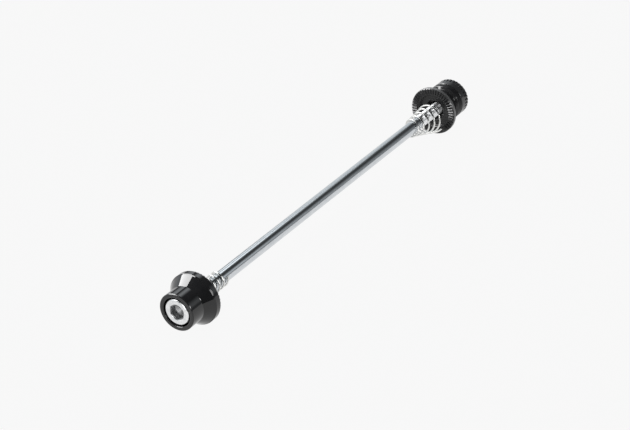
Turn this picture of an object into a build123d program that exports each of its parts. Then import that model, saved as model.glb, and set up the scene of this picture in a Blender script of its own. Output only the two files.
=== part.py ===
from build123d import *
import os
from math import cos, pi, radians, sin, sqrt, tan

# Bolt-on wheel skewer: a long socket-headed bolt carries a cap at its head, a
# knurled nut on its thread, and a conical spring in front of each. The rod lies
# along X, from the head to the nut, and the two flanges rest on the plane Z = 0.
# All sizes are in millimetres.

# Bolt: rod and socket head in one piece
rod_diameter = 5.0
rod_reach = 172.45
rod_past_nut_face = 11.95
rod_tip_chamfer = 0.5
head_diameter = 9.9
head_height = 5.35
head_rim_round = 0.8
socket_across_flats = 5.0
socket_depth = 2.8
socket_mouth_chamfer = 0.35
drill_point_angle = 118.0

# Fits between the pieces
running_clearance = 0.05
seat_gap = 0.05
head_side_gap = 0.5
head_spring_rod_gap = 0.16
nut_spring_rod_gap = 0.3
spring_recess_gap = 0.275

# Conical springs
spring_wire = 0.65
spring_runs_per_turn = 20
spring_wire_sides = 8
spring_large_diameter = 12.65
head_spring_turns = 6.0
head_spring_length = 15.9
head_spring_growth = 2.8
head_spring_start_angle = 64.0
nut_spring_turns = 5.2
nut_spring_length = 17.2
nut_spring_growth = 1.15
nut_spring_start_angle = 195.0
nut_spring_droop = 8.0
nut_spring_drop = 0.1
nut_spring_face_gap = 0.25

# Clamp faces, the same on the cap and the nut
flange_diameter = 19.4
tooth_count = 48
tooth_depth = 0.45
tooth_root_step = 0.5
tooth_edge_chamfer = 0.3
tooth_edge_length = 0.6
tooth_cut_overrun = 0.35
inner_land = 0.7
recess_mouth_chamfer = 0.25

# Head cap
head_inset = 0.05
cap_wall = 1.55
cap_web = 4.5
cap_recess_depth = 2.55
cap_barrel_length = 6.0
cap_rim_length = 3.0
cap_rim_chamfer = 0.3
cap_lip_round = 0.35
cap_junction_round = 0.5

# Nut
nut_recess_depth = 2.0
nut_rim_length = 2.1
nut_rim_chamfer = 0.3
nut_neck_diameter = 13.0
nut_taper_length = 3.0
nut_neck_length = 3.1
nut_collar_diameter = 15.0
nut_collar_length = 2.2
nut_groove_length = 0.8
nut_grip_length = 5.0
nut_edge_chamfer = 0.5
knurl_count = 32
knurl_depth = 0.35
knurl_length = 2.8
nut_mouth_countersink = 1.6
nut_end_countersink = 0.7

# Radii that follow from the sizes above
rod_radius = rod_diameter / 2
head_radius = head_diameter / 2
bore_radius = rod_radius + running_clearance
counterbore_radius = head_radius + head_side_gap
barrel_radius = counterbore_radius + cap_wall
flange_radius = flange_diameter / 2
spring_large_radius = (spring_large_diameter - spring_wire) / 2
recess_radius = spring_large_diameter / 2 + spring_recess_gap
tooth_inner_radius = recess_radius + inner_land
tooth_outer_radius = flange_radius - tooth_edge_chamfer
tooth_cut_length = flange_radius - tooth_inner_radius + 2 * tooth_cut_overrun
tooth_cut_centre = (flange_radius + tooth_inner_radius) / 2
neck_radius = nut_neck_diameter / 2
collar_radius = nut_collar_diameter / 2

# Stations along the rod, with the nut near the rod's tip
clamp_gap = rod_reach - rod_past_nut_face
counterbore_depth = head_inset + head_height + seat_gap
cap_length = counterbore_depth + cap_web + cap_recess_depth
nut_length = (
    nut_rim_length
    + nut_taper_length
    + nut_neck_length
    + nut_collar_length
    + nut_groove_length
    + nut_grip_length
)
overall_length = cap_length + clamp_gap + nut_length
lip_x = -overall_length / 2
seat_x = lip_x + counterbore_depth
cap_face_x = lip_x + cap_length
cap_floor_x = cap_face_x - cap_recess_depth
nut_face_x = cap_face_x + clamp_gap
nut_floor_x = nut_face_x + nut_recess_depth
nut_end_x = nut_face_x + nut_length
rod_tip_x = cap_face_x + rod_reach

# Everything turned shares one axis, one flange radius above the ground, and is
# drawn on one plane whose X runs along the rod and whose Y points up
axis_origin = (0, 0, flange_radius)
rod_axis = Axis(axis_origin, (1, 0, 0))
turning_plane = Plane(origin=axis_origin, x_dir=(1, 0, 0), z_dir=(0, -1, 0))


def cross_plane(x):
    """Plane across the rod at x, facing the nut, with its own X pointing up."""
    return Plane(origin=(x, 0, flange_radius), x_dir=(0, 0, 1), z_dir=(1, 0, 0))


def conical_spring(turns, length, growth_power, rod_gap):
    """Spring along Z from its small end at the origin to its large end, in short straight runs."""
    runs = round(turns * spring_runs_per_turn)
    small_radius = rod_radius + rod_gap + spring_wire / 2
    widening = spring_large_radius - small_radius
    points = []
    for run in range(runs + 1):
        share = run / runs
        radius = small_radius + widening * share**growth_power
        angle = -2 * pi * turns * share
        points.append((radius * cos(angle), radius * sin(angle), length * share))
    with BuildPart() as spring:
        with BuildLine() as coil:
            Polyline(*points)
        wire_start = Plane(origin=coil.line @ 0, z_dir=coil.line % 0)
        with BuildSketch(wire_start):
            RegularPolygon(radius=spring_wire / 2, side_count=spring_wire_sides)
        sweep(path=coil.line, transition=Transition.RIGHT)
    return spring.part


os.makedirs("parts", exist_ok=True)

# Bolt: a turned head and rod, with a hexagon socket on a drilled pilot
head_face_x = lip_x + head_inset
socket_floor_x = head_face_x + socket_depth
socket_flat_radius = socket_across_flats / 2
socket_mouth_radius = socket_flat_radius / cos(radians(30)) + socket_mouth_chamfer
mouth_cone_depth = socket_mouth_radius / tan(radians(60))
point_depth = socket_flat_radius / tan(radians(drill_point_angle / 2))

with BuildPart() as skewer_bolt:
    with BuildSketch(turning_plane):
        with BuildLine():
            Polyline(
                (head_face_x, 0),
                (head_face_x, head_radius),
                (head_face_x + head_height, head_radius),
                (head_face_x + head_height, rod_radius),
                (rod_tip_x - rod_tip_chamfer, rod_radius),
                (rod_tip_x, rod_radius - rod_tip_chamfer),
                (rod_tip_x, 0),
                close=True,
            )
        make_face()
    revolve(axis=rod_axis)
    head_rim = skewer_bolt.edges().filter_by(GeomType.CIRCLE).group_by(Axis.X)[0]
    fillet(head_rim, radius=head_rim_round)
    with BuildSketch(cross_plane(head_face_x)):
        RegularPolygon(radius=socket_flat_radius, side_count=6, major_radius=False, rotation=30)
    extrude(amount=socket_depth, mode=Mode.SUBTRACT)
    with BuildSketch(turning_plane):
        with BuildLine():
            Polyline(
                (head_face_x, 0),
                (head_face_x, socket_mouth_radius),
                (head_face_x + mouth_cone_depth, 0),
                close=True,
            )
        make_face()
        with BuildLine():
            Polyline(
                (socket_floor_x, 0),
                (socket_floor_x, socket_flat_radius),
                (socket_floor_x + point_depth, 0),
                close=True,
            )
        make_face()
    revolve(axis=rod_axis, mode=Mode.SUBTRACT)
skewer_bolt.part.label = "skewer_bolt"

# Head cap: a barrel round the bolt head that flares into the toothed flange
flare_end_x = cap_face_x - cap_rim_length
lip_facet = cap_lip_round * (1 - cos(radians(45)))

with BuildPart() as head_cap:
    with BuildSketch(turning_plane):
        with BuildLine():
            Polyline(
                (lip_x + cap_lip_round, counterbore_radius),
                (lip_x + lip_facet, counterbore_radius + lip_facet),
                (lip_x, counterbore_radius + cap_lip_round),
                (lip_x, barrel_radius - cap_lip_round),
                (lip_x + lip_facet, barrel_radius - lip_facet),
                (lip_x + cap_lip_round, barrel_radius),
                (lip_x + cap_barrel_length, barrel_radius),
                (flare_end_x, flange_radius - cap_rim_chamfer),
                (flare_end_x + cap_rim_chamfer, flange_radius),
                (cap_face_x - tooth_edge_length, flange_radius),
                (cap_face_x, tooth_outer_radius),
                (cap_face_x, tooth_inner_radius),
                (cap_face_x - tooth_root_step, tooth_inner_radius),
                (cap_face_x - tooth_root_step, recess_radius + recess_mouth_chamfer),
                (cap_face_x - tooth_root_step - recess_mouth_chamfer, recess_radius),
                (cap_floor_x, recess_radius),
                (cap_floor_x, bore_radius),
                (seat_x, bore_radius),
                (seat_x, counterbore_radius),
                close=True,
            )
        make_face()
    revolve(axis=rod_axis)
    junction_x = lip_x + cap_barrel_length
    round_edges = head_cap.edges().filter_by(GeomType.CIRCLE)
    junction = round_edges.filter_by_position(Axis.X, junction_x - 0.01, junction_x + 0.01)
    fillet(junction, radius=cap_junction_round)
    with Locations(cross_plane(cap_face_x)):
        with PolarLocations(tooth_cut_centre, tooth_count):
            Box(
                tooth_cut_length,
                tooth_depth * sqrt(2),
                tooth_depth * sqrt(2),
                rotation=(45, 0, 0),
                mode=Mode.SUBTRACT,
            )
head_cap.part.label = "head_cap"

# Nut: the same toothed flange, a tapered neck, a collar, a groove and a knurled end
taper_end_x = nut_face_x + nut_rim_length + nut_taper_length
collar_x = taper_end_x + nut_neck_length
groove_x = collar_x + nut_collar_length
grip_x = groove_x + nut_groove_length

with BuildPart() as nut:
    with BuildSketch(turning_plane):
        with BuildLine():
            Polyline(
                (nut_floor_x, recess_radius),
                (nut_face_x + tooth_root_step + recess_mouth_chamfer, recess_radius),
                (nut_face_x + tooth_root_step, recess_radius + recess_mouth_chamfer),
                (nut_face_x + tooth_root_step, tooth_inner_radius),
                (nut_face_x, tooth_inner_radius),
                (nut_face_x, tooth_outer_radius),
                (nut_face_x + tooth_edge_length, flange_radius),
                (nut_face_x + nut_rim_length - nut_rim_chamfer, flange_radius),
                (nut_face_x + nut_rim_length, flange_radius - nut_rim_chamfer),
                (taper_end_x, neck_radius),
                (collar_x - nut_edge_chamfer, neck_radius),
                (collar_x, collar_radius),
                (groove_x, collar_radius),
                (groove_x, neck_radius),
                (grip_x - nut_edge_chamfer, neck_radius),
                (grip_x, collar_radius),
                (nut_end_x - nut_edge_chamfer, collar_radius),
                (nut_end_x, collar_radius - nut_edge_chamfer),
                (nut_end_x, bore_radius + nut_end_countersink),
                (nut_end_x - nut_end_countersink, bore_radius),
                (nut_floor_x + nut_mouth_countersink, bore_radius),
                (nut_floor_x, bore_radius + nut_mouth_countersink),
                close=True,
            )
        make_face()
    revolve(axis=rod_axis)
    with Locations(cross_plane(nut_face_x)):
        with PolarLocations(tooth_cut_centre, tooth_count):
            Box(
                tooth_cut_length,
                tooth_depth * sqrt(2),
                tooth_depth * sqrt(2),
                rotation=(45, 0, 0),
                mode=Mode.SUBTRACT,
            )
    with Locations(cross_plane(nut_end_x - knurl_length / 2)):
        with PolarLocations(collar_radius, knurl_count):
            Box(
                knurl_depth * sqrt(2),
                knurl_depth * sqrt(2),
                knurl_length,
                rotation=(0, 0, 45),
                mode=Mode.SUBTRACT,
            )
nut.part.label = "nut"

# Head spring: seated in the cap's recess, on the rod's axis
head_spring_small_x = cap_floor_x + seat_gap + spring_wire / 2 + head_spring_length
head_angle = radians(head_spring_start_angle)
head_spring_frame = Plane(
    origin=(head_spring_small_x, 0, flange_radius),
    x_dir=(0, -sin(head_angle), cos(head_angle)),
    z_dir=(-1, 0, 0),
)
head_coil = head_spring_frame * conical_spring(
    head_spring_turns, head_spring_length, head_spring_growth, head_spring_rod_gap
)

with BuildPart() as head_spring:
    add(head_coil)
head_spring.part.label = "head_spring"

# Nut spring: loose on the rod, its large end sagging in front of the nut
droop = radians(nut_spring_droop)
nut_angle = radians(nut_spring_start_angle)
nut_spring_large_x = nut_face_x - spring_wire / 2 - nut_spring_face_gap
nut_spring_small_x = nut_spring_large_x - nut_spring_length * cos(droop)
nut_spring_frame = Plane(
    origin=(nut_spring_small_x, 0, flange_radius - nut_spring_drop),
    x_dir=(0, -sin(nut_angle), cos(nut_angle)),
    z_dir=(cos(droop), 0, -sin(droop)),
)
nut_coil = nut_spring_frame * conical_spring(
    nut_spring_turns, nut_spring_length, nut_spring_growth, nut_spring_rod_gap
)

with BuildPart() as nut_spring:
    add(nut_coil)
nut_spring.part.label = "nut_spring"

export_step(skewer_bolt.part, "parts/skewer_bolt.step")
export_step(head_cap.part, "parts/head_cap.step")
export_step(head_spring.part, "parts/head_spring.step")
export_step(nut_spring.part, "parts/nut_spring.step")
export_step(nut.part, "parts/nut.step")
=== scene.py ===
"""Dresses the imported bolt-on wheel skewer: turned surfaces, wire springs, finishes, light and camera.

The rod lies along X, its axis one flange radius above the floor. Sizes are in millimetres in the
classes and become metres where a mesh is made. Angles round the rod start at the top and go towards -Y.
"""

import logging
import math
from dataclasses import dataclass, field
from enum import Enum, IntEnum

import bpy
import numpy as np
from mathutils import Matrix

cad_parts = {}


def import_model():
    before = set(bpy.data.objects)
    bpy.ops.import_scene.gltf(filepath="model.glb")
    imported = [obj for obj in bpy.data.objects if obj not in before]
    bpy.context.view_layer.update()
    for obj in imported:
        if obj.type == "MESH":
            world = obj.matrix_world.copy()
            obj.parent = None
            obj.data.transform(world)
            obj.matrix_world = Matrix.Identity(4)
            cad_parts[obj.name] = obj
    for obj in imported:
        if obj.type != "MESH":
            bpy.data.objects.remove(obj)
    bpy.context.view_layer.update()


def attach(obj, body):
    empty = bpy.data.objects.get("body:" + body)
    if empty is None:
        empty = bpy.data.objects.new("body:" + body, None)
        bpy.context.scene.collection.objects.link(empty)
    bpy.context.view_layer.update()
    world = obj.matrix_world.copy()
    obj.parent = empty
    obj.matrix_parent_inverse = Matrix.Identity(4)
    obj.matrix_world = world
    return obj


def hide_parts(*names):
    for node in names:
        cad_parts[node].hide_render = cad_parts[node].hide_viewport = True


LOG = logging.getLogger("skewer")
MM = 0.001
AXIS_HEIGHT = 9.7
SHARP_ANGLE = math.radians(32.0)
TINY = 1e-6
GUARD_MOST, GUARD_LEAST, GUARD_SHARE = 0.06, 0.004, 0.3
NOISE_LOW, NOISE_HIGH = 0.3, 0.7
NOISE_ROUGHNESS, TURNING_ROUGHNESS = 0.6, 0.65
DRAWN_GRAIN = (70.0, 5200.0, 5200.0)
ROLLED_GRAIN = (1800.0, 5200.0, 5200.0)
HEAD_GRAIN = (2600.0, 2600.0, 2600.0)
WIRE_GRAIN = (2400.0, 2400.0, 2400.0)
Array = np.ndarray
Triple = tuple[float, float, float]
Pair = tuple[float, float]
Object = bpy.types.Object
Material = bpy.types.Material
Node = bpy.types.Node
Socket = bpy.types.NodeSocket


class Ends(Enum):
    """How the first and last rows of a grid are finished."""

    LOOP = "the last row joins the first"
    POLES = "each end row closes on its own centre"


@dataclass(frozen=True)
class Corner:
    """One corner of a turned profile: station along the rod, radius, and edge round."""

    x: float
    r: float
    edge: float = 0.0


def rounded_profile(corners: list[Corner], closed: bool, arc_step: float = 13.0) -> Array:
    """Turns corners into a profile with round edges.

    Each corner with a round is swapped for an arc that is tangent to its two sides. A point close to
    each end of the arc keeps the sides flat when they are shaded smooth.

    Args:
        corners: the profile's corners in order.
        closed: whether the last corner joins the first.
        arc_step: the largest turn between two points of an arc, in degrees.

    Returns:
        The profile's points as rows of station and radius.
    """
    flat = np.array([(c.x, c.r) for c in corners], float)
    pieces = []
    count = len(corners)
    for k, corner in enumerate(corners):
        here = flat[k]
        if corner.edge <= 0.0 or (not closed and k in (0, count - 1)):
            pieces.append(here[None, :])
            continue
        before = here - flat[k - 1]
        after = flat[(k + 1) % count] - here
        room_in, room_out = np.linalg.norm(before), np.linalg.norm(after)
        before, after = before / room_in, after / room_out
        cross = before[0] * after[1] - before[1] * after[0]
        turn = math.atan2(cross, float(before @ after))
        reach = corner.edge * math.tan(abs(turn) / 2)
        side = math.copysign(1.0, turn)
        start = here - before * reach
        centre = start + side * corner.edge * np.array([-before[1], before[0]])
        steps = max(2, math.ceil(math.degrees(abs(turn)) / arc_step))
        angles = np.linspace(0.0, turn, steps + 1)[:, None]
        spoke = start - centre
        across = np.array([-spoke[1], spoke[0]])
        arc = centre + spoke * np.cos(angles) + across * np.sin(angles)
        guard = min(GUARD_MOST, GUARD_SHARE * max(min(room_in, room_out) - reach, 0.0))
        if guard > GUARD_LEAST:
            arc = np.vstack([start - before * guard, arc, here + after * (reach + guard)])
        pieces.append(arc)
    return np.vstack(pieces)


def turned_points(x: Array, r: Array, angle: Array) -> Array:
    """Places grid values round the rod's axis.

    Args:
        x: stations along the rod.
        r: distances from the axis.
        angle: angles round the axis, in radians, from the top towards -Y.

    Returns:
        Points in metres, shaped as the inputs with a last axis of three.
    """
    x, r, angle = np.broadcast_arrays(x, r, angle)
    return MM * np.stack([x, -r * np.sin(angle), AXIS_HEIGHT + r * np.cos(angle)], axis=-1)


def grid_faces(rows: int, columns: int, ends: Ends) -> tuple[Array, Array]:
    """Numbers the faces of a grid whose columns close on themselves.

    Args:
        rows: the grid's rows.
        columns: the grid's columns.
        ends: how the first and last rows are finished.

    Returns:
        The quads, and the triangles that close the poles, whose centres follow the grid's points.
    """
    i = np.arange(rows if ends is Ends.LOOP else rows - 1)[:, None]
    j = np.arange(columns)[None, :]
    below, beside = (i + 1) % rows, (j + 1) % columns
    quads = np.stack(
        [i * columns + j, i * columns + beside, below * columns + beside, below * columns + j], axis=-1
    ).reshape(-1, 4)
    if ends is Ends.LOOP:
        return quads, np.zeros((0, 3), int)
    first, last = rows * columns, rows * columns + 1
    j, beside = j[0], beside[0]
    tail = (rows - 1) * columns
    near = np.stack([np.full(columns, first), beside, j], axis=-1)
    far = np.stack([np.full(columns, last), tail + j, tail + beside], axis=-1)
    return quads, np.vstack([near, far])


def grid_object(
    name: str, points: Array, ends: Ends, layers: list[Material], finish_rows: Array
) -> Object:
    """Makes a closed mesh object from a grid of points, with its faces outwards.

    Args:
        name: the piece's name.
        points: the grid, rows by columns by three, in metres.
        ends: how the first and last rows are finished.
        layers: the piece's finishes.
        finish_rows: for each row, which of the finishes its faces have.

    Returns:
        The object, in the scene, at the origin.
    """
    rows, columns = points.shape[:2]
    quads, fans = grid_faces(rows, columns, ends)
    flat = points.reshape(-1, 3)
    if ends is Ends.POLES:
        flat = np.vstack([flat, points[0].mean(axis=0), points[-1].mean(axis=0)])
    triangles = np.vstack([quads[:, [0, 1, 2]], quads[:, [0, 2, 3]], fans])
    a, b, c = (flat[triangles[:, k]] for k in range(3))
    if np.einsum("ij,ij->", a, np.cross(b, c)) < 0:
        quads, fans = quads[:, ::-1], fans[:, ::-1]
    mesh = bpy.data.meshes.new(name)
    mesh.from_pydata(flat.tolist(), [], quads.tolist() + fans.tolist())
    mesh.polygons.foreach_set("use_smooth", np.ones(len(mesh.polygons), bool))
    index = np.zeros(len(mesh.polygons), np.int32)
    index[: len(quads)] = np.repeat(finish_rows[: len(quads) // columns], columns)
    index[len(quads) :] = np.repeat(finish_rows[[0, -1]], columns)[: len(fans)]
    mesh.polygons.foreach_set("material_index", index)
    mesh.update()
    mesh.set_sharp_from_angle(angle=SHARP_ANGLE)
    for material in layers:
        mesh.materials.append(material)
    piece = bpy.data.objects.new(name, mesh)
    bpy.context.scene.collection.objects.link(piece)
    return piece


def set_inputs(node: Node, values: dict[str | int, object]) -> None:
    """Sets the values of a node's inputs."""
    for key, value in values.items():
        node.inputs[key].default_value = value


class NodeBoard:
    """A material's node tree with short calls to add and join nodes."""

    def __init__(self, name: str) -> None:
        """Starts a material with an empty board, a shader and an output."""
        self.material = bpy.data.materials.new(name)
        self.material.use_nodes = True
        self.tree = self.material.node_tree
        self.tree.nodes.clear()
        self.shader = self.add("ShaderNodeBsdfPrincipled")
        output = self.add("ShaderNodeOutputMaterial")
        self.join(self.shader, "BSDF", output, "Surface")
        self.place = self.add("ShaderNodeTexCoord")

    def add(self, kind: str, values: dict | None = None, **settings: object) -> Node:
        """Adds a node of a kind and sets its own properties and its inputs' values."""
        node = self.tree.nodes.new(kind)
        for key, value in settings.items():
            setattr(node, key, value)
        set_inputs(node, values or {})
        return node

    def join(self, source: Node, out: str | int, target: Node, into: str | int) -> None:
        """Links one node's output to another's input."""
        self.tree.links.new(source.outputs[out], target.inputs[into])

    def stretched_noise(self, scale: Triple, detail: float) -> Node:
        """Adds noise on Object coordinates, stretched by a scale per axis.

        Args:
            scale: pattern repeats per metre along X, Y and Z.
            detail: the noise's octaves.

        Returns:
            The noise node.
        """
        mapping = self.add("ShaderNodeMapping", {"Scale": scale})
        self.join(self.place, "Object", mapping, "Vector")
        values = {"Scale": 1.0, "Detail": detail, "Roughness": NOISE_ROUGHNESS}
        noise = self.add("ShaderNodeTexNoise", values)
        self.join(mapping, "Vector", noise, "Vector")
        return noise

    def turning_noise(self, lines_per_metre: float, detail: float) -> Node:
        """Adds noise that changes along the rod and outwards but not round it, as tool marks do.

        Args:
            lines_per_metre: how many marks there are in a metre.
            detail: the noise's octaves.

        Returns:
            The noise node.
        """
        split = self.add("ShaderNodeSeparateXYZ")
        self.join(self.place, "Object", split, "Vector")
        drop = self.add("ShaderNodeMath", {1: AXIS_HEIGHT * MM}, operation="SUBTRACT")
        self.join(split, "Z", drop, 0)
        away = self.add("ShaderNodeCombineXYZ")
        self.join(split, "Y", away, "X")
        self.join(drop, 0, away, "Y")
        length = self.add("ShaderNodeVectorMath", operation="LENGTH")
        self.join(away, 0, length, 0)
        spot = self.add("ShaderNodeCombineXYZ")
        self.join(split, "X", spot, "X")
        self.join(length, "Value", spot, "Y")
        values = {"Scale": lines_per_metre, "Detail": detail, "Roughness": TURNING_ROUGHNESS}
        noise = self.add("ShaderNodeTexNoise", values, noise_dimensions="2D")
        self.join(spot, 0, noise, "Vector")
        return noise

    def roughen(self, noise: Node, low: float, high: float) -> None:
        """Drives the roughness with noise, between two values.

        Args:
            noise: the noise node.
            low: the value where the noise is low.
            high: the value where the noise is high.
        """
        values = {"From Min": NOISE_LOW, "From Max": NOISE_HIGH, "To Min": low, "To Max": high}
        span = self.add("ShaderNodeMapRange", values)
        self.join(noise, 0, span, "Value")
        self.join(span, "Result", self.shader, "Roughness")

    def tint(self, noise: Node, low: Triple, high: Triple) -> None:
        """Drives the base colour with noise, between two colours.

        Args:
            noise: the noise node.
            low: the colour where the noise is low.
            high: the colour where the noise is high.
        """
        ramp = self.add("ShaderNodeValToRGB")
        stops = zip(ramp.color_ramp.elements, (NOISE_LOW, NOISE_HIGH), (low, high))
        for stop, place, colour in stops:
            stop.position = place
            stop.color = (*colour, 1.0)
        self.join(noise, 0, ramp, "Fac")
        self.join(ramp, "Color", self.shader, "Base Color")

    def relief(self, heights: list[tuple[Node, float]]) -> None:
        """Adds bumps one on the other and gives the result to the shader.

        Args:
            heights: pairs of a noise node and its height in metres.
        """
        last = None
        for noise, height in heights:
            bump = self.add("ShaderNodeBump", {"Strength": 1.0, "Distance": height})
            self.join(noise, 0, bump, "Height")
            if last is not None:
                self.join(last, "Normal", bump, "Normal")
            last = bump
        self.join(last, "Normal", self.shader, "Normal")


@dataclass(frozen=True)
class BrightSteel:
    """Bright plated steel: a cloudy tint, under a fine grain that also varies the gloss."""

    name: str
    dark: Triple
    light: Triple
    smooth: float
    rough: float
    grain: Triple = HEAD_GRAIN
    grain_height: float = 3.0e-6
    grain_octaves: float = 3.0
    cloud: Triple = (260.0, 900.0, 900.0)
    cloud_octaves: float = 2.0

    def make(self) -> Material:
        """Builds the material."""
        board = NodeBoard(self.name)
        set_inputs(board.shader, {"Metallic": 1.0})
        grain = board.stretched_noise(self.grain, self.grain_octaves)
        cloud = board.stretched_noise(self.cloud, self.cloud_octaves)
        board.tint(cloud, self.dark, self.light)
        board.roughen(grain, self.smooth, self.rough)
        board.relief([(grain, self.grain_height)])
        return board.material


@dataclass(frozen=True)
class TurnedBlack:
    """Black turned aluminium: fine tool marks under a clear gloss, or a blasted matt."""

    name: str
    grey: float
    worn: float
    smooth: float
    rough: float
    mark_height: float = 0.4e-6
    blast_height: float = 0.2e-6
    shine: float = 0.5
    blue: float = 0.0005
    ior: float = 1.5
    marks_per_metre: float = 9000.0
    mark_octaves: float = 3.0
    blast: Triple = (7000.0, 7000.0, 7000.0)
    blast_octaves: float = 2.0
    cloud: Triple = (350.0, 350.0, 350.0)
    cloud_octaves: float = 3.0

    def tone(self, grey: float) -> Triple:
        """A grey with a little more blue in it."""
        return (grey, grey, grey + self.blue)

    def make(self) -> Material:
        """Builds the material."""
        board = NodeBoard(self.name)
        set_inputs(board.shader, {"IOR": self.ior, "Specular IOR Level": self.shine})
        marks = board.turning_noise(self.marks_per_metre, self.mark_octaves)
        blast = board.stretched_noise(self.blast, self.blast_octaves)
        cloud = board.stretched_noise(self.cloud, self.cloud_octaves)
        board.tint(cloud, self.tone(self.grey), self.tone(self.worn))
        board.roughen(cloud, self.smooth, self.rough)
        board.relief([(marks, self.mark_height), (blast, self.blast_height)])
        return board.material


class Finishes:
    """Every finish on the skewer, made once."""

    def __init__(self) -> None:
        """Makes the materials."""
        self.rod = BrightSteel(
            "drawn_bright_steel", dark=(0.56, 0.585, 0.61), light=(0.66, 0.68, 0.70),
            smooth=0.10, rough=0.20, grain=DRAWN_GRAIN, grain_height=2.5e-6,
        ).make()
        self.thread = BrightSteel(
            "rolled_bright_thread", dark=(0.80, 0.815, 0.83), light=(0.92, 0.93, 0.94),
            smooth=0.16, rough=0.26, grain=ROLLED_GRAIN, grain_height=2.0e-6,
        ).make()
        # Darker thread where the rod runs into the nut: painted shade of the nut's recess.
        self.painted_shade_thread = BrightSteel(
            "thread_painted_shade_by_nut", dark=(0.26, 0.262, 0.265), light=(0.36, 0.362, 0.365),
            smooth=0.22, rough=0.32, grain=ROLLED_GRAIN, grain_height=2.0e-6,
        ).make()
        self.head = BrightSteel(
            "plated_head_steel", dark=(0.66, 0.67, 0.68), light=(0.86, 0.865, 0.87),
            smooth=0.14, rough=0.28,
        ).make()
        # Darker, rougher steel inside the socket than on the head.
        self.socket = BrightSteel(
            "darker_socket_steel", dark=(0.34, 0.345, 0.35), light=(0.46, 0.465, 0.47),
            smooth=0.42, rough=0.55,
        ).make()
        # Darker steel on the inner half of the socket's chamfer: painted shade.
        self.mouth_painted_shade = BrightSteel(
            "socket_mouth_painted_shade", dark=(0.20, 0.202, 0.205), light=(0.30, 0.302, 0.305),
            smooth=0.30, rough=0.40,
        ).make()
        self.wire = BrightSteel(
            "bright_spring_wire", dark=(0.66, 0.66, 0.645), light=(0.80, 0.80, 0.78),
            smooth=0.12, rough=0.20, grain=WIRE_GRAIN, grain_height=1.5e-6,
        ).make()
        self.gloss_black = TurnedBlack(
            "gloss_black_turned", grey=0.0055, worn=0.0075,
            smooth=0.02, rough=0.045, mark_height=0.2e-6, blast_height=0.0,
        ).make()
        self.satin_black = TurnedBlack(
            "satin_black_turned", grey=0.009, worn=0.013, smooth=0.07, rough=0.12
        ).make()
        self.shaded_black = TurnedBlack(
            "shaded_black_neck", grey=0.006, worn=0.008,
            smooth=0.24, rough=0.34, mark_height=0.6e-6, blast_height=0.4e-6, shine=0.05,
        ).make()
        # Lighter grey and full shine on the nut's rim band: a painted highlight.
        self.rim_black = TurnedBlack(
            "black_rim_painted_highlight", grey=0.028, worn=0.034, smooth=0.28, rough=0.36, shine=1.0
        ).make()
        self.matt_black = TurnedBlack(
            "matt_black_toothed", grey=0.010, worn=0.014,
            smooth=0.26, rough=0.34, mark_height=0.8e-6, blast_height=0.6e-6, shine=0.38,
        ).make()
        # A lighter black on the wall of the nut's recess: painted light over the shade that falls there.
        self.recess_painted_light = TurnedBlack(
            "recess_wall_painted_light", grey=0.040, worn=0.050,
            smooth=0.5, rough=0.6, blast_height=0.4e-6, shine=0.3,
        ).make()


@dataclass
class ClampFace:
    """A clamp face, the same on the cap and the nut: rim, ring of radial V teeth, and recess."""

    count: int = 48
    depth: float = 0.45
    widest_share: float = 0.99
    least_half: float = 0.004
    plain_radius: float = 8.3
    flange: float = 9.7
    edge: float = 0.3
    edge_length: float = 0.6
    edge_round: float = 0.1
    land: float = 7.3
    row_gap: float = 0.7
    step: float = 0.5
    recess: float = 6.6
    mouth_chamfer: float = 0.25
    mouth_round: float = 0.08
    floor_round: float = 0.25
    margin: float = 0.01

    def corners(self, face: float, inward: float, floor: float) -> list[Corner]:
        """The face's corners, from its rim over the teeth and the step to the recess's floor.

        Args:
            face: the face's station.
            inward: 1.0 or -1.0, the way along X into the piece.
            floor: the station of the recess's floor.

        Returns:
            The corners in order.
        """
        ledge = face + inward * self.step
        return [
            Corner(face + inward * self.edge_length, self.flange, self.edge_round),
            Corner(face, self.flange - self.edge),
            Corner(face, self.land + 2 * self.row_gap),
            Corner(face, self.land + self.row_gap),
            Corner(face, self.land),
            Corner(ledge, self.land),
            Corner(ledge, self.recess + self.mouth_chamfer, self.mouth_round),
            Corner(ledge + inward * self.mouth_chamfer, self.recess, self.mouth_round),
            Corner(floor, self.recess, self.floor_round),
        ]

    def toothed(self, drop: Array, radius: Array) -> Array:
        """Which rows of a section, by depth behind the face and radius, lie on the ring of teeth."""
        return (radius > self.land - self.margin) & (drop < self.edge_length)

    def cut(self, drop: Array, radius: Array) -> tuple[Array, Array]:
        """Puts columns on every groove's floor and edges, eight to a tooth, and cuts the grooves.

        A groove is a V with square sides, so its edge is where the radius times the sine of the angle
        from its floor is its depth there. Rows off the teeth take their columns from the grooves at one
        plain radius. The cut surface is the turned one, or a groove's V where that is deeper.

        Args:
            drop: each row's depth behind the face, as turned.
            radius: each row's distance from the axis.

        Returns:
            Angles round the axis and depths behind the face, rows by columns.
        """
        toothed = self.toothed(drop, radius)
        pitch = math.pi / self.count
        reach = np.clip(self.depth - np.where(toothed, drop, 0.0), 0.0, None)
        sine = reach / np.where(toothed, radius, self.plain_radius)
        half = np.arcsin(np.clip(sine, 0.0, self.widest_share * math.sin(pitch)))
        half = np.maximum(half, self.least_half)
        middle = (half + pitch) / 2
        rising = [0 * half, half / 2, half, middle, 0 * half + pitch]
        falling = [2 * pitch - middle, 2 * pitch - half, 2 * pitch - half / 2]
        one = np.stack(rising + falling, axis=-1)
        starts = 2 * pitch * np.arange(self.count)
        angle = (one[:, None, :] + starts[None, :, None]).reshape(len(half), -1)
        off = (angle + pitch) % (2 * pitch) - pitch
        vee = self.depth - np.abs(radius[:, None] * np.sin(off))
        turned = drop[:, None]
        return angle, np.where(toothed[:, None], np.maximum(turned, vee), turned)


# The bolt's and the nut's finishes, by material index.
BoltLayer = IntEnum("BoltLayer", "HEAD ROD SOCKET THREAD OILED MOUTH", start=0)
NutLayer = IntEnum("NutLayer", "SATIN MATT SHADED RIM RECESS", start=0)


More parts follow.
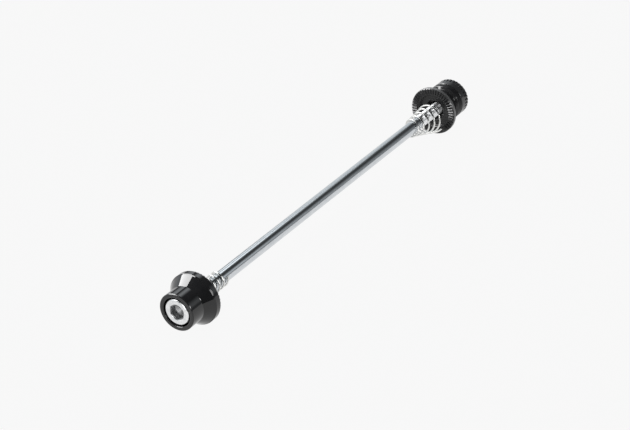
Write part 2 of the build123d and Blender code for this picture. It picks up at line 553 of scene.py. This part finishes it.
@dataclass
class SkewerBolt:
    """The long bolt: socket head, drawn rod and rolled thread in one piece."""

    head_face: float = -94.55
    head_radius: float = 4.95
    head_height: float = 5.35
    rim_round: float = 0.8
    under_round: float = 0.15
    fillet: float = 0.2
    socket_flat: float = 2.5
    socket_depth: float = 2.8
    mouth_chamfer: float = 0.35
    mouth_angle: float = 60.0
    # Share of the chamfer, from the hexagon outwards, that carries the painted shade.
    mouth_shade_share: float = 0.5
    floor_guard: float = 0.06
    edge_guard: float = 0.05
    drill_point: float = 118.0
    cone_rows: tuple[float, ...] = (0.04, 0.35, 0.7, 0.97, 1.0)
    rod_radius: float = 2.5
    tip: float = 90.35
    tip_chamfer: float = 0.5
    thread_start: float = 66.0
    thread_lead: float = 1.0
    # Station from which the thread carries the painted shade of the nut's recess.
    painted_shade_start: float = 79.8
    pitch: float = 0.8
    thread_depth: float = 0.43
    crest_flat: float = 0.125
    root_flat: float = 0.25
    run_in: float = 1.5
    columns: int = 144
    rows_per_turn: int = 14
    arc_step: float = 9.0

    def mouth(self) -> float:
        """Radius of the socket's round mouth: the hexagon's corner and the chamfer."""
        return self.socket_flat / math.cos(math.pi / 6) + self.mouth_chamfer

    def thread_cut(self, x: Array, angle: Array) -> Array:
        """Depth of the right-hand thread: a V with a flat crest and root, fading in where it starts.

        Args:
            x: stations along the rod.
            angle: angles round the axis.

        Returns:
            The depth below the rod's surface.
        """
        phase = (x / self.pitch - angle / (2 * math.pi)) % 1.0
        opening = 0.5 - self.crest_flat / 2
        flank = opening - self.root_flat / 2
        form = np.clip((opening - np.abs(phase - 0.5)) / flank, 0.0, 1.0)
        fade = np.clip((x - self.thread_start) / (self.run_in * self.pitch), 0.0, 1.0)
        return self.thread_depth * form * fade * fade * (3 - 2 * fade)

    def socket_rows(self, angle: Array) -> tuple[Array, Array]:
        """Rows from the drill point out to the socket's mouth.

        The hexagon has a corner at the top. Its radius is its flat over the cosine to the nearest flat.

        Args:
            angle: the columns' angles.

        Returns:
            Stations and radii, rows by columns.
        """
        same = np.ones_like(angle)
        sixth, mouth = math.pi / 3, self.mouth() * same
        hexagon = self.socket_flat / np.cos(angle % sixth - sixth / 2)
        face, floor = self.head_face * same, (self.head_face + self.socket_depth) * same
        point = self.socket_flat / math.tan(math.radians(self.drill_point / 2))
        chamfer = face + (mouth - hexagon) / math.tan(math.radians(self.mouth_angle))
        cone = np.array(self.cone_rows)[:, None]
        x_cone = floor + point * (1 - cone)
        r_cone = self.socket_flat * cone * same
        # The chamfer's middle row, where its painted shade ends.
        x_shade_edge = (1 - self.mouth_shade_share) * chamfer + self.mouth_shade_share * face
        r_shade_edge = (1 - self.mouth_shade_share) * hexagon + self.mouth_shade_share * mouth
        x_wall = [floor, floor - self.floor_guard, chamfer + self.edge_guard, chamfer]
        x = np.vstack([x_cone, *x_wall, x_shade_edge, face])
        r = np.vstack([r_cone, *[hexagon] * len(x_wall), r_shade_edge, mouth])
        return x, r

    def body_rows(self, angle: Array) -> tuple[Array, Array]:
        """Rows from the head's face round its rim, along the rod and its thread to the tip.

        Args:
            angle: the columns' angles.

        Returns:
            Stations and radii, rows by columns.
        """
        under = self.head_face + self.head_height
        corners = [
            Corner(self.head_face, self.mouth()),
            Corner(self.head_face, self.head_radius, self.rim_round),
            Corner(under, self.head_radius, self.under_round),
            Corner(under, self.rod_radius, self.fillet),
            Corner(self.thread_start - self.thread_lead, self.rod_radius),
        ]
        outline = rounded_profile(corners, closed=False, arc_step=self.arc_step)[1:]
        turns = (self.tip - self.thread_start) / self.pitch
        run = np.linspace(self.thread_start, self.tip, int(turns * self.rows_per_turn))
        plain = np.full(len(run), self.rod_radius)
        same = np.ones_like(angle)
        x = np.concatenate([outline[:, 0], run])[:, None] * same
        r = np.concatenate([outline[:, 1], plain])[:, None] * same
        threaded = x >= self.thread_start
        r = np.where(threaded, r - self.thread_cut(x, angle[None, :]), r)
        chamfer = self.rod_radius - self.tip_chamfer + (self.tip - x)
        return x, np.where(threaded, np.minimum(r, chamfer), r)

    def build(self, finishes: Finishes) -> Object:
        """Makes the bolt and gives its head, socket, rod and thread their finishes.

        Args:
            finishes: the skewer's finishes.

        Returns:
            The piece.
        """
        angle = 2 * math.pi * np.arange(self.columns) / self.columns
        x_in, r_in = self.socket_rows(angle)
        x_out, r_out = self.body_rows(angle)
        x, r = np.vstack([x_in, x_out]), np.vstack([r_in, r_out])
        station, row = x.mean(axis=1), np.arange(len(x))
        # The third row from the socket's end is the chamfer's inner edge.
        chamfer_row = len(x_in) - 3
        under = self.head_face + self.head_height
        masks = {
            BoltLayer.SOCKET: row < chamfer_row,
            # The chamfer's inner half takes the darker steel of a painted shade.
            BoltLayer.MOUTH: row == chamfer_row,
            # Past this station the thread is painted darker, as painted shade of the nut's recess.
            BoltLayer.OILED: station > self.painted_shade_start,
            BoltLayer.THREAD: station > self.thread_start + self.pitch,
            BoltLayer.ROD: station > under + self.edge_guard,
        }
        finish = np.select(list(masks.values()), list(masks), BoltLayer.HEAD).astype(np.int32)
        layers = [finishes.head, finishes.rod, finishes.socket, finishes.thread]
        layers += [finishes.painted_shade_thread, finishes.mouth_painted_shade]
        points = turned_points(x, r, angle)
        piece = grid_object("skewer_bolt_bright", points, Ends.POLES, layers, finish)
        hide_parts("skewer_bolt")
        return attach(piece, "bolt")


@dataclass
class HeadCap:
    """The gloss black cap that the bolt's head sinks into."""

    lip: float = -94.6
    face: float = -82.1
    counterbore: float = 5.45
    barrel: float = 7.0
    barrel_length: float = 6.0
    rim_length: float = 3.0
    rim_chamfer: float = 0.3
    rim_round: float = 0.18
    lip_round: float = 0.35
    seat: float = -89.15
    seat_round: float = 0.2
    bore: float = 2.55
    bore_round: float = 0.12
    recess_depth: float = 2.55
    clamp: ClampFace = field(default_factory=ClampFace)

    def section(self) -> Array:
        """The cap's section, from the lip over the barrel, flare and face back through the bore."""
        flare_end = self.face - self.rim_length
        floor = self.face - self.recess_depth
        flange = self.clamp.flange
        corners = [
            Corner(self.lip, self.counterbore, self.lip_round),
            Corner(self.lip, self.barrel, self.lip_round),
            Corner(self.lip + self.barrel_length, self.barrel, self.lip_round),
            Corner(flare_end, flange - self.rim_chamfer, self.rim_round),
            Corner(flare_end + self.rim_chamfer, flange, self.rim_round),
            *self.clamp.corners(self.face, -1.0, floor),
            Corner(floor, self.bore, self.bore_round),
            Corner(self.seat, self.bore, self.bore_round),
            Corner(self.seat, self.counterbore, self.seat_round),
        ]
        return rounded_profile(corners, closed=True)

    def build(self, finishes: Finishes) -> Object:
        """Makes the cap, gloss black with satin teeth.

        Args:
            finishes: the skewer's finishes.

        Returns:
            The piece.
        """
        x, radius = self.section().T
        drop = self.face - x
        angle, behind = self.clamp.cut(drop, radius)
        finish = self.clamp.toothed(drop, radius).astype(np.int32)
        layers = [finishes.gloss_black, finishes.satin_black]
        points = turned_points(self.face - behind, radius[:, None], angle)
        piece = grid_object("head_cap_gloss", points, Ends.LOOP, layers, finish)
        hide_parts("head_cap")
        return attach(piece, "cap")


@dataclass
class SerratedNut:
    """The black nut: toothed face, tapered neck, collar, groove and serrated end ring."""

    face: float = 78.4
    end: float = 94.6
    rim_length: float = 2.1
    rim_chamfer: float = 0.3
    rim_round: float = 0.15
    taper_length: float = 3.0
    taper_round: float = 0.6
    neck: float = 6.5
    neck_length: float = 3.1
    neck_round: float = 0.12
    collar: float = 7.5
    collar_length: float = 2.2
    collar_round: float = 0.1
    groove_length: float = 0.8
    edge: float = 0.5
    bore: float = 2.55
    recess_depth: float = 2.0
    mouth: float = 1.6
    mouth_round: float = 0.1
    end_sink: float = 0.7
    end_round: float = 0.06
    notch_count: int = 32
    notch_depth: float = 0.35
    notch_length: float = 2.8
    notch_step: float = 0.001
    notch_rows: int = 4
    rear_start: float = 9.0
    grip_margin: float = 0.2
    clamp: ClampFace = field(default_factory=ClampFace)

    def section(self) -> Array:
        """The nut's section, from its recess over the face, neck and grip back through the bore."""
        rim_end = self.face + self.rim_length
        taper_end = rim_end + self.taper_length
        collar = taper_end + self.neck_length
        groove = collar + self.collar_length
        grip = groove + self.groove_length
        floor = self.face + self.recess_depth
        notch = self.end - self.notch_length
        flange = self.clamp.flange
        corners = [
            *self.clamp.corners(self.face, 1.0, floor)[::-1],
            Corner(rim_end - self.rim_chamfer, flange, self.rim_round),
            Corner(rim_end, flange - self.rim_chamfer, self.rim_round),
            Corner(taper_end, self.neck, self.taper_round),
            Corner(collar - self.edge, self.neck, self.neck_round),
            Corner(collar, self.collar, self.collar_round),
            Corner(groove, self.collar, self.collar_round),
            Corner(groove, self.neck, self.neck_round),
            Corner(grip - self.edge, self.neck, self.neck_round),
            Corner(grip, self.collar, self.collar_round),
            Corner(notch - self.notch_step, self.collar),
            Corner(notch, self.collar),
            Corner(self.end - self.edge, self.collar, self.collar_round),
            Corner(self.end, self.collar - self.edge, self.collar_round),
            Corner(self.end, self.bore + self.end_sink, self.end_round),
            Corner(self.end - self.end_sink, self.bore, self.end_round),
            Corner(floor + self.mouth, self.bore, self.mouth_round),
            Corner(floor, self.bore + self.mouth, self.mouth_round),
        ]
        return rounded_profile(corners, closed=True)

    def serrate(self, x: Array, radius: Array, angle: Array) -> tuple[Array, Array]:
        """Moves the rear rows' columns to the serrations' floors and edges, and cuts the end ring's Vs.

        The cut radius is the turned one, or a V's where that is less.

        Args:
            x: each row's station.
            radius: each row's distance from the axis.
            angle: angles round the axis, rows by columns.

        Returns:
            The new angles and the radii, rows by columns.
        """
        pitch = 2 * math.pi / self.notch_count
        half = math.asin(self.notch_depth / self.collar)
        inside = np.linspace(0.0, half, self.notch_rows)
        spare = angle.shape[1] // self.notch_count - 2 * self.notch_rows + 3
        outside = np.linspace(half, pitch - half, spare)[1:-1]
        one = np.concatenate([inside, outside, pitch - inside[:0:-1]])
        ring = (one[None, :] + pitch * np.arange(self.notch_count)[:, None]).reshape(-1)
        rear = x > self.face + self.rear_start
        angle = np.where(rear[:, None], ring[None, :], angle)
        off = (angle + pitch / 2) % pitch - pitch / 2
        vee = self.collar - self.notch_depth + np.abs(self.collar * np.sin(off))
        gripped = x > self.end - self.notch_length - TINY
        gripped &= radius > self.neck - self.grip_margin
        turned = radius[:, None]
        return angle, np.where(gripped[:, None], np.minimum(turned, vee), turned)

    def finish_rows(self, x: Array, radius: Array) -> Array:
        """Which finish each row has: matt on the face and the recess's floor, satin where no other is.

        The taper, the neck, the collar and the groove are shaded, but for the collar's front chamfer.

        Args:
            x: each row's station.
            radius: each row's distance from the axis.

        Returns:
            Material indices.
        """
        clamp = self.clamp
        near, inner, past, edge, skin = 0.01, 0.02, 0.05, 0.3, 2.0
        ledge = self.face + clamp.step + edge
        taper = self.face + self.rim_length + past
        collar = taper + self.taper_length + self.neck_length
        grip = collar + self.collar_length + self.groove_length
        front = (x < ledge) & (radius > clamp.recess - near)
        front &= (x - self.face < clamp.edge_length - clamp.edge_round) | (radius < clamp.land)
        chamfer = np.abs(x - (collar - edge)) < edge
        shaded = (x > taper) & (x < grip - self.edge) & (radius > self.bore + skin) & ~chamfer
        # The rim band takes the lighter black of the painted highlight.
        rim = (x > self.face + edge) & (x < taper) & (radius > clamp.flange - edge - past)
        hollow = (x > ledge) & (x < self.face + self.recess_depth + near)
        hollow &= (radius > self.bore + self.mouth_round) & (radius < clamp.recess + inner)
        # The recess's wall takes the lighter black of painted light.
        wall = hollow & (radius > clamp.recess - inner)
        masks = {
            NutLayer.RECESS: wall,
            NutLayer.MATT: front | hollow,
            NutLayer.SHADED: shaded,
            NutLayer.RIM: rim,
        }
        return np.select(list(masks.values()), list(masks), NutLayer.SATIN).astype(np.int32)

    def build(self, finishes: Finishes) -> Object:
        """Makes the nut.

        Args:
            finishes: the skewer's finishes.

        Returns:
            The piece.
        """
        x, radius = self.section().T
        angle, behind = self.clamp.cut(x - self.face, radius)
        angle, serrated = self.serrate(x, radius, angle)
        points = turned_points(self.face + behind, serrated, angle)
        layers = [finishes.satin_black, finishes.matt_black, finishes.shaded_black]
        layers += [finishes.rim_black, finishes.recess_painted_light]
        piece = grid_object("nut_satin", points, Ends.LOOP, layers, self.finish_rows(x, radius))
        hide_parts("nut")
        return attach(piece, "nut")


@dataclass
class ConicalSpring:
    """A conical wire spring, wound left-handed from its small end to its large end."""

    name: str
    node: str
    body: str
    small_end: Triple
    along: Triple
    start_angle: float
    length: float
    growth: float
    turns: float
    small_radius: float
    large_radius: float = 6.0
    wire: float = 0.65
    end_ease: float = 0.08
    steps_per_turn: int = 72
    sides: int = 20

    def forward(self) -> Array:
        """The spring's own axis, as a unit vector from its small end."""
        return np.array(self.along) / np.linalg.norm(self.along)

    def path(self) -> Array:
        """The wire's middle: a circle that widens and moves along the spring's own axis as it turns."""
        share = np.linspace(0.0, 1.0, int(self.turns * self.steps_per_turn) + 1)
        radius = self.small_radius + (self.large_radius - self.small_radius) * share**self.growth
        turn = -2 * math.pi * self.turns * share
        forward = self.forward()
        start = math.radians(self.start_angle)
        first = np.array([0.0, -math.sin(start), math.cos(start)])
        first = first - forward * (first @ forward)
        first = first / np.linalg.norm(first)
        second = np.cross(forward, first)
        return (
            np.array(self.small_end)
            + np.outer(radius * np.cos(turn), first)
            + np.outer(radius * np.sin(turn), second)
            + np.outer(self.length * share, forward)
        )

    def tube(self, path: Array) -> Array:
        """Carries the wire's round section along the path, with its ends eased as cut wire is.

        Args:
            path: the wire's middle.

        Returns:
            The grid of points, in metres.
        """
        run = np.gradient(path, axis=0)
        run /= np.linalg.norm(run, axis=1, keepdims=True)
        forward = self.forward()
        flat = forward - run * (run @ forward)[:, None]
        flat /= np.linalg.norm(flat, axis=1, keepdims=True)
        other = np.cross(run, flat)
        head = path[0] + self.end_ease * run[0]
        tail = path[-1] - self.end_ease * run[-1]
        path = np.vstack([path[0], head, path[1:-1], tail, path[-1]])
        flat = np.vstack([flat[:1], flat, flat[-1:]])[:, None, :]
        other = np.vstack([other[:1], other, other[-1:]])[:, None, :]
        radius = np.full(len(path), self.wire / 2)
        radius[[0, -1]] -= self.end_ease
        turn = (2 * math.pi * np.arange(self.sides) / self.sides)[None, :, None]
        ring = flat * np.cos(turn) + other * np.sin(turn)
        return MM * (path[:, None, :] + radius[:, None, None] * ring)

    def build(self, finishes: Finishes) -> Object:
        """Makes the spring.

        Args:
            finishes: the skewer's finishes.

        Returns:
            The piece.
        """
        points = self.tube(self.path())
        rows = np.zeros(len(points), np.int32)
        piece = grid_object(self.name, points, Ends.POLES, [finishes.wire], rows)
        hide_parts(self.node)
        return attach(piece, self.body)


def both_springs(cap: HeadCap, nut: SerratedNut) -> list[ConicalSpring]:
    """The spring in the cap's recess, and the one that hangs in front of the nut.

    Each large end stops a gap short of what it faces. The nut's spring hangs a little low, nose up.

    Args:
        cap: the cap.
        nut: the nut.

    Returns:
        The two springs.
    """
    seat_gap, face_gap, sag, droop = 0.05, 0.25, 0.1, math.radians(8.0)
    head_length, nut_length = 15.9, 17.2
    half_wire = ConicalSpring.wire / 2
    head_small = cap.face - cap.recess_depth + seat_gap + half_wire + head_length
    nut_small = nut.face - half_wire - face_gap - nut_length * math.cos(droop)
    return [
        ConicalSpring(
            "head_spring_wire", "head_spring", "head_spring",
            small_end=(head_small, 0.0, AXIS_HEIGHT), along=(-1.0, 0.0, 0.0), start_angle=64.0,
            length=head_length, growth=2.8, turns=6.0, small_radius=2.985,
        ),
        ConicalSpring(
            "nut_spring_wire", "nut_spring", "nut_spring",
            small_end=(nut_small, 0.0, AXIS_HEIGHT - sag),
            along=(math.cos(droop), 0.0, -math.sin(droop)), start_angle=195.0,
            length=nut_length, growth=1.15, turns=5.2, small_radius=3.125,
        ),
    ]


class Zone(Enum):
    """Which directions along the rod a band of light covers."""

    SIDE = "side"
    NEAR = "near"
    FAR = "far"
    END = "end"


@dataclass(frozen=True)
class Strip:
    """A soft band of light in the room, by angle over the rod from the +Y side, in degrees.

    It rises from start to full and falls from fade to end. Its zone is a range of directions along the
    rod. The cap's flare mirrors the side ones, its barrel the near, the rod the far and the nut the end.
    """

    zone: Zone
    start: float
    full: float
    end: float
    fade: float
    tone: float


class Lit(Enum):
    """Which pieces a panel falls on."""

    BRIGHT = "the steel pieces"
    BLACK = "the black pieces"
    HEAD_SPRING = "the head's spring"
    ALL = "everything, but nothing mirrors it"


@dataclass(frozen=True)
class Panel:
    """A soft rectangular light, by its angle from +Y towards +X, its height angle and its distance.

    Its radiance is its brightness as a mirror would show it. Those with screened in their names are
    dimmer ones for the steel, so that it doesn't burn out.
    """

    name: str
    azimuth: float
    elevation: float
    distance: float
    size: Pair
    radiance: float
    lit: Lit
    aim: Triple = (0.0, 0.0, 0.01)

    def hang(self, groups: dict[Lit, list[Object]]) -> None:
        """Hangs the light so that it faces its aim, out of the camera's sight, over its own pieces only.

        Args:
            groups: the pieces that each kind of panel falls on.
        """
        turn, tilt = math.radians(self.azimuth), math.radians(self.elevation)
        flat = self.distance * math.cos(tilt)
        centre = (flat * math.sin(turn), flat * math.cos(turn), self.distance * math.sin(tilt))
        light = bpy.data.lights.new(self.name, "AREA")
        light.shape = "RECTANGLE"
        light.size, light.size_y = self.size
        light.energy = self.radiance * math.pi * self.size[0] * self.size[1]
        lamp = bpy.data.objects.new(self.name, light)
        bpy.context.scene.collection.objects.link(lamp)
        lamp.matrix_world = facing(np.array(self.aim) - np.array(centre), centre)
        lamp.visible_camera = False
        if self.lit is Lit.ALL:
            lamp.visible_glossy = False
            return
        group = bpy.data.collections.new(f"lit_by_{self.name}")
        for piece in groups[self.lit]:
            group.objects.link(piece)
        lamp.light_linking.receiver_collection = group


def facing(way: Array, place: Triple) -> Matrix:
    """The pose of something that stands upright at a place and looks one way.

    Args:
        way: the way it looks.
        place: where it stands.

    Returns:
        The pose, with the look along -Z.
    """
    way = way / np.linalg.norm(way)
    side = np.cross(way, (0.0, 0.0, 1.0))
    side = side / np.linalg.norm(side)
    pose = np.eye(4)
    pose[:3, 0], pose[:3, 1], pose[:3, 2], pose[:3, 3] = side, np.cross(side, way), -way, place
    return Matrix(pose.tolist())


@dataclass
class Studio:
    """Pale floor, soft panels, a dim room and the camera."""

    floor_half: float = 4.0
    floor_drop: float = 2e-5
    floor_glow: float = 0.925
    floor_colour: float = 0.03
    floor_roughness: float = 0.9
    eye: Triple = (-0.54225, -0.34049, 0.37630)
    forward: Triple = (0.72732, 0.46356, -0.50608)
    right: Triple = (0.53747, -0.84328, 0.0)
    focal_pixels: float = 2000.0
    image_width: int = 630
    pixel_nudge: float = 0.5
    sensor_width: float = 36.0
    clip: Pair = (0.01, 50.0)
    dim: float = 0.055
    room_tint: Triple = (0.95, 1.0, 1.03)
    side_limit: Pair = (0.3, 0.45)
    near_limit: Pair = (0.69, 0.72)
    far_limit: Pair = (0.735, 0.755)
    strips: tuple[Strip, ...] = (
        Strip(Zone.SIDE, -10.0, 0.0, 24.0, 16.0, 1.0),
        Strip(Zone.NEAR, 4.0, 38.0, 45.0, 41.0, 1.6),
        Strip(Zone.NEAR, 48.0, 66.0, 87.0, 67.0, 2.1),
        Strip(Zone.NEAR, 124.0, 154.0, 172.0, 157.0, 0.75),
        Strip(Zone.NEAR, 158.0, 182.0, 200.0, 190.0, 0.25),
        Strip(Zone.FAR, -20.0, 0.0, 104.0, 58.0, 0.76),
        Strip(Zone.FAR, 112.0, 170.0, 200.0, 190.0, 0.24),
        Strip(Zone.END, -20.0, 4.0, 84.0, 40.0, 0.72),
        Strip(Zone.END, 108.0, 168.0, 200.0, 190.0, 0.22),
    )
    panels: tuple[Panel, ...] = (
        Panel("side_panel", -13.0, 38.5, 1.1, (1.66, 0.74), 15.0, Lit.BLACK),
        Panel("screened_side_panel", -13.0, 38.5, 1.1, (1.66, 0.74), 2.6, Lit.BRIGHT),
        Panel("right_panel", 170.0, 26.0, 1.0, (0.85, 0.2), 14.0, Lit.BLACK),
        Panel("screened_right_panel", 170.0, 26.0, 1.0, (0.25, 0.2), 4.0, Lit.BRIGHT),
        Panel("camera_panel", 228.0, 17.0, 1.0, (0.24, 0.34), 5.5, Lit.BLACK),
        Panel("spring_panel", 192.0, 36.0, 1.0, (1.7, 0.9), 1.5, Lit.HEAD_SPRING),
        Panel("screened_left_panel", 258.0, 16.0, 1.0, (0.5, 0.44), 3.2, Lit.BRIGHT),
        Panel("top_fill", 0.0, 90.0, 1.5, (2.0, 2.0), 0.4, Lit.ALL, aim=(0.0, 0.001, 0.0)),
    )

    def floor(self) -> Object:
        """Lays a flat, evenly pale floor just under the flanges."""
        h, z = self.floor_half, -self.floor_drop
        mesh = bpy.data.meshes.new("floor")
        mesh.from_pydata([(-h, -h, z), (h, -h, z), (h, h, z), (-h, h, z)], [], [(0, 1, 2, 3)])
        piece = bpy.data.objects.new("floor", mesh)
        bpy.context.scene.collection.objects.link(piece)
        board = NodeBoard("pale_floor")
        grey = self.floor_colour
        values = {
            "Base Color": (grey, grey, grey, 1.0),
            "Roughness": self.floor_roughness,
            "Specular IOR Level": 0.0,
            "Emission Color": (1.0, 1.0, 1.0, 1.0),
            "Emission Strength": self.floor_glow,
        }
        set_inputs(board.shader, values)
        mesh.materials.append(board.material)
        return piece

    def room(self) -> None:
        """Gives the room its tones by direction: the strips, over a dim ground."""
        world = bpy.data.worlds.new("studio_room")
        world.use_nodes = True
        tree = world.node_tree
        tree.nodes.clear()
        output = tree.nodes.new("ShaderNodeOutputWorld")
        back = tree.nodes.new("ShaderNodeBackground")
        tree.links.new(back.outputs[0], output.inputs["Surface"])
        place = tree.nodes.new("ShaderNodeTexCoord")
        split = tree.nodes.new("ShaderNodeSeparateXYZ")
        tree.links.new(place.outputs["Generated"], split.inputs[0])

        def ramp(source: Socket, low: float, high: float) -> Socket:
            """Maps a value smoothly from nought at low to one at high."""
            node = tree.nodes.new("ShaderNodeMapRange")
            node.interpolation_type = "SMOOTHSTEP"
            set_inputs(node, {"From Min": low, "From Max": high})
            tree.links.new(source, node.inputs["Value"])
            return node.outputs["Result"]

        def combine(kind: str, one: Socket, two: Socket | float) -> Socket:
            """Joins two values by one operation."""
            node = tree.nodes.new("ShaderNodeMath")
            node.operation = kind
            tree.links.new(one, node.inputs[0])
            if isinstance(two, float):
                node.inputs[1].default_value = two
            else:
                tree.links.new(two, node.inputs[1])
            return node.outputs[0]

        x, y, z = split.outputs
        turn = combine("ARCTAN2", z, y)
        side, near, far = self.side_limit, self.near_limit, self.far_limit
        zones = {
            Zone.SIDE: ramp(x, *side[::-1]),
            Zone.NEAR: combine("MULTIPLY", ramp(x, *near[::-1]), ramp(x, *side)),
            Zone.FAR: combine("MULTIPLY", ramp(x, *near), ramp(x, *far[::-1])),
            Zone.END: ramp(x, *far),
        }
        tone = None
        for strip in self.strips:
            rise = ramp(turn, math.radians(strip.start), math.radians(strip.full))
            fall = ramp(turn, math.radians(strip.end), math.radians(strip.fade))
            band = combine("MULTIPLY", rise, fall)
            band = combine("MULTIPLY", band, zones[strip.zone])
            band = combine("MULTIPLY", band, strip.tone)
            tone = band if tone is None else combine("ADD", tone, band)
        tone = combine("ADD", tone, self.dim)
        tint = tree.nodes.new("ShaderNodeVectorMath")
        tint.operation = "SCALE"
        tint.inputs[0].default_value = self.room_tint
        tree.links.new(tone, tint.inputs["Scale"])
        tree.links.new(tint.outputs[0], back.inputs["Color"])
        bpy.context.scene.world = world

    def camera(self) -> Object:
        """Stands the camera where the picture was taken, with the same lens."""
        data = bpy.data.cameras.new("camera")
        data.sensor_fit = "HORIZONTAL"
        data.sensor_width = self.sensor_width
        data.lens = self.focal_pixels / self.image_width * data.sensor_width
        data.clip_start, data.clip_end = self.clip
        camera = bpy.data.objects.new("camera", data)
        bpy.context.scene.collection.objects.link(camera)
        ahead, side = np.array(self.forward), np.array(self.right)
        nudge = self.pixel_nudge / self.focal_pixels
        ahead = ahead - nudge * side + nudge * np.cross(side, ahead)
        camera.matrix_world = facing(ahead, self.eye)
        bpy.context.scene.camera = camera
        return camera

    def build(self, groups: dict[Lit, list[Object]]) -> None:
        """Sets the stage.

        Args:
            groups: the pieces that each kind of panel falls on.
        """
        self.floor()
        self.room()
        for panel in self.panels:
            panel.hang(groups)
        self.camera()
        settings = bpy.context.scene.view_settings
        settings.view_transform = "Standard"
        settings.look = "None"


def main() -> None:
    """Loads the frame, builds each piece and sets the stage."""
    logging.basicConfig(level=logging.INFO, format="%(name)s: %(message)s")
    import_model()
    finishes = Finishes()
    cap, nut = HeadCap(), SerratedNut()
    bright = [maker.build(finishes) for maker in (SkewerBolt(), *both_springs(cap, nut))]
    black = [maker.build(finishes) for maker in (cap, nut)]
    for piece in bright + black:
        LOG.info("%s has %d faces", piece.name, len(piece.data.polygons))
    head_spring = bright[1]
    Studio().build({Lit.BRIGHT: bright, Lit.BLACK: black, Lit.HEAD_SPRING: [head_spring]})


if __name__ == "__main__":
    main()
